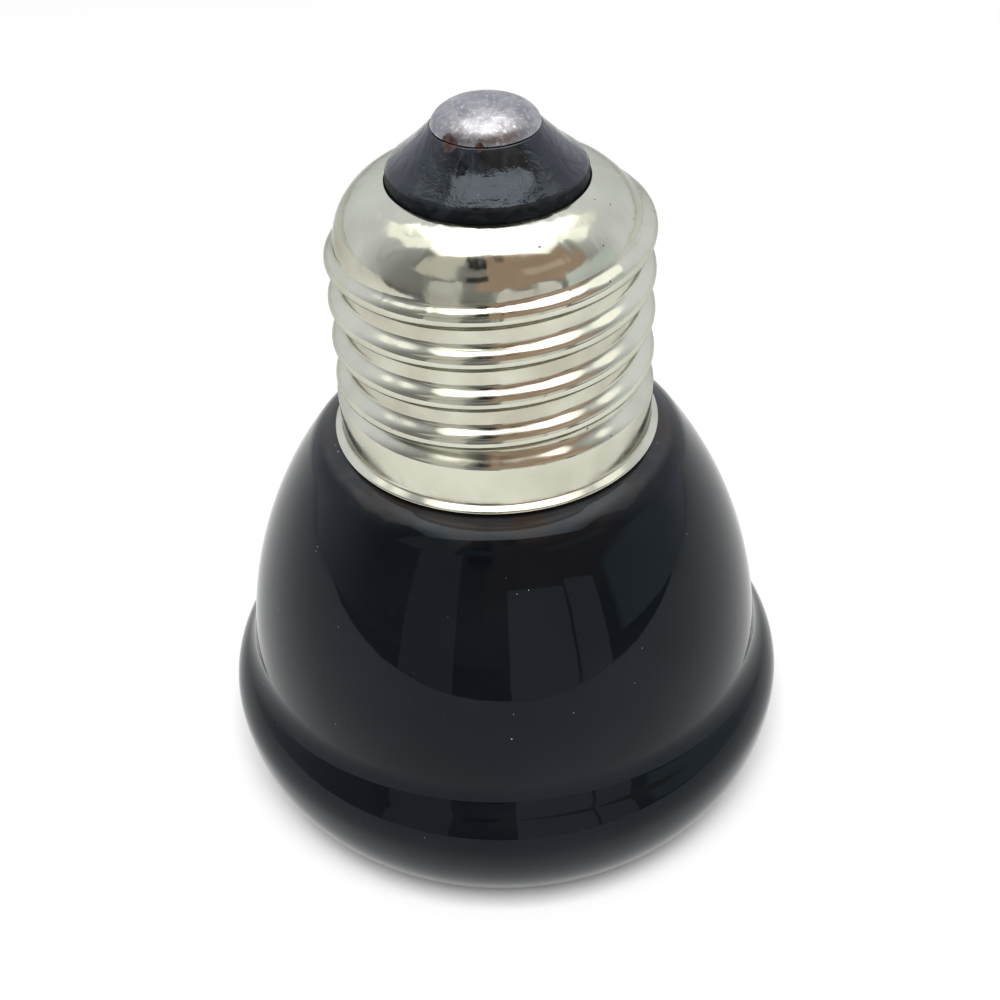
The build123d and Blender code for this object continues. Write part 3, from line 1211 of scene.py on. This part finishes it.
@dataclass
class Studio:
    """Plain white table with a soft lamp overhead, a grey room for the gloss to mirror, and the camera."""

    camera_place: Place = (0.0, -109.74, 114.77)
    camera_pitch: float = 38.436
    camera_roll: float = -2.217
    camera_focus: float = 1.5757
    camera_sensor: float = 36.0
    camera_nearest: float = 5.0
    floor_half: float = 4000.0
    floor_glow: float = 0.1
    floor_fade: Point = (220.0, 600.0)
    floor_colour: Colour = (0.88, 0.88, 0.88)
    sky_light: float = 0.3
    lamp_place: Place = (0.0, -1000.0, 1900.0)
    lamp_size: float = 1000.0
    lamp_power: float = 50.0
    panel_height: float = 720.0
    panel_middle: float = 25.0
    panel_across: float = 405.0
    panel_fade: float = 230.0
    panel_along: Point = (-230.0, 420.0)
    panel_glow: float = 3.2
    panel_end_glow: float = 1.6
    room_radius: float = 1500.0
    room_side: Colour = (0.92, 0.95, 1.03)
    room_front: Colour = (0.27, 0.275, 0.28)
    room_front_turn: Point = (62.0, 112.0)
    zone_edge: float = 2.0
    zones: tuple[RoomZone, ...] = (
        RoomZone(-45.0, 52.0, 17.0, 22.0, (0.70, 0.685, 0.64)),
        RoomZone(33.0, 46.0, 42.0, 31.0, (0.47, 0.345, 0.278)),
        RoomZone(-20.0, 66.0, 8.0, 7.0, (0.02, 0.02, 0.022)),
        RoomZone(-14.0, 56.0, 7.0, 8.0, (0.02, 0.02, 0.022)),
        RoomZone(-12.0, 33.0, 7.0, 4.0, (0.03, 0.03, 0.032)),
        RoomZone(8.0, 66.0, 6.0, 7.0, (0.2, 0.14, 0.115)),
        RoomZone(46.0, 38.0, 20.0, 5.0, (0.66, 0.53, 0.44)),
        RoomZone(74.0, 8.0, 22.0, 12.0, (0.72, 0.80, 0.82)),
        RoomZone(-119.0, 50.0, 17.0, 7.0, (1.6, 1.6, 1.58)),
        RoomZone(-100.0, 57.0, 10.0, 7.0, (1.6, 1.6, 1.58)),
        RoomZone(104.0, 54.0, 13.0, 11.0, (1.6, 1.6, 1.58)),
        RoomZone(126.0, 50.0, 11.0, 7.0, (1.3, 1.3, 1.29)),
    )
    table_end: float = -145.0
    table_drop: Colour = (0.19, 0.20, 0.21)
    drop_lift: float = 1.0
    card_lift: float = 1.5
    end_cards: tuple[EndCard, ...] = (
        EndCard(4.0, 78.0, 84.0, 0.9),
        EndCard(82.0, 136.0, 90.0, 0.9),
        EndCard(-140.0, -56.0, 130.0, 0.66),
    )

    def light_path(self, wiring: Wiring) -> Socket:
        """One for the rays that show the background: from the camera, and by way of gloss or glass.

        Args:
            wiring: The tree to work in.

        Returns:
            The test's socket.
        """
        path = wiring.add("ShaderNodeLightPath")
        seen = wiring.math("MAXIMUM", path.outputs["Is Camera Ray"], path.outputs["Is Glossy Ray"])
        return wiring.math("MAXIMUM", seen, path.outputs["Is Transmission Ray"])

    def sheet(self, name: str, corners: list[Place]) -> bpy.types.Object:
        """Flat stage piece.

        Args:
            name: Its name.
            corners: Its four corners in millimetres.

        Returns:
            The object, linked to the scene.
        """
        mesh = bpy.data.meshes.new(name)
        mesh.from_pydata([Vector(corner) * MM for corner in corners], [], [(0, 1, 2, 3)])
        sheet = bpy.data.objects.new(name, mesh)
        bpy.context.scene.collection.objects.link(sheet)
        return sheet

    def level(self, across: Point, along: Point, height: float) -> list[Place]:
        """Corners of a level rectangle, from its spans across and along the table and its height."""
        (left, right), (near, back) = across, along
        return [(x, y, height) for x, y in ((left, near), (right, near), (right, back), (left, back))]

    def floor(self) -> bpy.types.Object:
        """White floor that keeps the shadow under a faint glow and clears to white far off.

        Returns:
            The floor object.
        """
        span = (-self.floor_half, self.floor_half)
        floor = self.sheet("floor", self.level(span, span, 0.0))
        s = Shading("white_floor")
        s.set(Base_Color=(*self.floor_colour, 1.0), Roughness=1.0, Specular_IOR_Level=0.0)
        seen = s.add("ShaderNodeLightPath").outputs["Is Camera Ray"]
        far = s.times(s.ramp(s.radius(), *self.floor_fade), seen)
        near = s.times(self.light_path(s), self.floor_glow)
        s.set(Emission_Color=(1.0, 1.0, 1.0, 1.0), Emission_Strength=s.math("MAXIMUM", near, far))
        floor.data.materials.append(s.material)
        return floor

    def mirrored(self, thing: bpy.types.Object, s: Shading, glow: Feed) -> bpy.types.Object:
        """Makes a stage piece glow, for gloss and glass only.

        Args:
            thing: The stage piece.
            s: Its material under way.
            glow: Colour of its glow.

        Returns:
            The same stage piece.
        """
        thing.visible_camera = False
        thing.visible_diffuse = False
        thing.visible_shadow = False
        s.set(Base_Color=(0.0, 0.0, 0.0, 1.0), Specular_IOR_Level=0.0)
        s.set(Emission_Color=glow, Emission_Strength=1.0)
        thing.data.materials.append(s.material)
        return thing

    def zone_cover(self, s: Shading, turn: Socket, rise: Socket, zone: RoomZone) -> Socket:
        """Cover of one panel of the room.

        Args:
            s: The room's material.
            turn: Direction round the axis, in degrees from the camera.
            rise: Direction above the floor, in degrees.
            zone: The panel.

        Returns:
            One inside the panel, with a soft edge.
        """
        soft = self.zone_edge
        across = s.ramp(s.apart(turn, zone.turn), zone.half_turn - soft, zone.half_turn + soft, 1.0, 0.0)
        up = s.ramp(s.apart(rise, zone.rise), zone.half_rise - soft, zone.half_rise + soft, 1.0, 0.0)
        return s.times(across, up)

    def room(self) -> bpy.types.Object:
        """Grey room round the table, which only gloss and glass can see.

        Returns:
            The room object.
        """
        bpy.ops.mesh.primitive_uv_sphere_add(segments=64, ring_count=32, radius=self.room_radius * MM)
        room = bpy.context.object
        room.name = "room"
        s = Shading("grey_room")
        x, y, z = s.parts(s.place)
        turn = s.math("DEGREES", s.math("ARCTAN2", x, s.times(y, -1.0)))
        rise = s.math("DEGREES", s.math("ARCSINE", s.over(z, self.room_radius * MM)))
        front = s.ramp(s.math("ABSOLUTE", turn), *self.room_front_turn, 1.0, 0.0)
        colour = s.mix(front, self.room_side, self.room_front)
        for zone in self.zones:
            colour = s.mix(self.zone_cover(s, turn, rise, zone), colour, zone.colour)
        return self.mirrored(room, s, colour)

    def panel(self) -> bpy.types.Object:
        """White panel overhead, whose two ends fade to the glow of the room's side panels.

        Returns:
            The panel object.
        """
        across = (self.panel_middle - self.panel_across, self.panel_middle + self.panel_across)
        panel = self.sheet("overhead_panel", self.level(across, self.panel_along, self.panel_height))
        s = Shading("overhead_panel")
        off = s.apart(s.parts(s.place)[0], self.panel_middle * MM)
        ends = s.ramp(off, self.panel_fade * MM, self.panel_across * MM)
        return self.mirrored(panel, s, s.mix(ends, (self.panel_glow,) * 3, (self.panel_end_glow,) * 3))

    def cards(self) -> list[bpy.types.Object]:
        """Dim drop past the front end of the table, the white panel overhead and the pale cards on the end.

        Returns:
            The card objects.
        """
        end, far = self.table_end, self.room_radius
        drop = self.sheet("table_drop", self.level((-far, far), (-far, end), self.drop_lift))
        cards = [self.mirrored(drop, Shading("table_drop"), (*self.table_drop, 1.0)), self.panel()]
        for number, card in enumerate(self.end_cards):
            name = f"pale_card_{number}"
            across = (card.left, card.right, card.right, card.left)
            up = (self.card_lift, self.card_lift, card.height, card.height)
            stood = self.sheet(name, [(x, end, z) for x, z in zip(across, up)])
            cards.append(self.mirrored(stood, Shading(name), (*(card.glow,) * 3, 1.0)))
        return cards

    def lamp(self) -> None:
        """Soft lamp over the table, whose mirrored shape is left to the white panel."""
        light = bpy.data.lights.new("overhead_lamp", "AREA")
        light.size = self.lamp_size * MM
        light.energy = self.lamp_power
        lamp = bpy.data.objects.new("overhead_lamp", light)
        lamp.location = Vector(self.lamp_place) * MM
        lamp.visible_glossy = False
        bpy.context.scene.collection.objects.link(lamp)

    def world(self) -> None:
        """White surroundings, with a softer light for matt surfaces."""
        world = bpy.data.worlds.new("white_surroundings")
        bpy.context.scene.world = world
        world.use_nodes = True
        wiring = Wiring(world.node_tree)
        background = world.node_tree.nodes["Background"]
        background.inputs["Color"].default_value = (1.0, 1.0, 1.0, 1.0)
        soft = wiring.math("MULTIPLY_ADD", self.light_path(wiring), 1.0 - self.sky_light, self.sky_light)
        wiring.feed(background.inputs["Strength"], soft)

    def camera(self) -> None:
        """Camera at the photo's angle."""
        lens = bpy.data.cameras.new("camera")
        lens.sensor_width = self.camera_sensor
        lens.lens = self.camera_sensor * self.camera_focus
        lens.clip_start = self.camera_nearest * MM
        camera = bpy.data.objects.new("camera", lens)
        tilt = Matrix.Rotation(math.radians(90 - self.camera_pitch), 4, "X")
        turn = Matrix.Rotation(math.radians(self.camera_roll), 4, "Z")
        camera.matrix_world = Matrix.Translation(Vector(self.camera_place) * MM) @ tilt @ turn
        bpy.context.scene.collection.objects.link(camera)
        bpy.context.scene.camera = camera

    def build(self) -> None:
        """Makes the table, the room, the light and the camera."""
        self.floor()
        self.room()
        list(self.cards())
        self.lamp()
        self.world()
        self.camera()
        bpy.context.scene.view_settings.view_transform = "Standard"


def main() -> None:
    """Builds the studio and the four pieces, and reports each one."""
    logging.basicConfig(level=logging.INFO, format="%(message)s")
    Studio().build()
    dressed = (
        (CeramicBody(), BlackGlaze()),
        (ScrewShell(), NickelSheet()),
        (Insulator(), BlackGlass()),
        (CentreContact(), Solder()),
    )
    for piece, finish in dressed:
        piece.dress(piece.build(finish.material()))


if __name__ == "__main__":
    main()
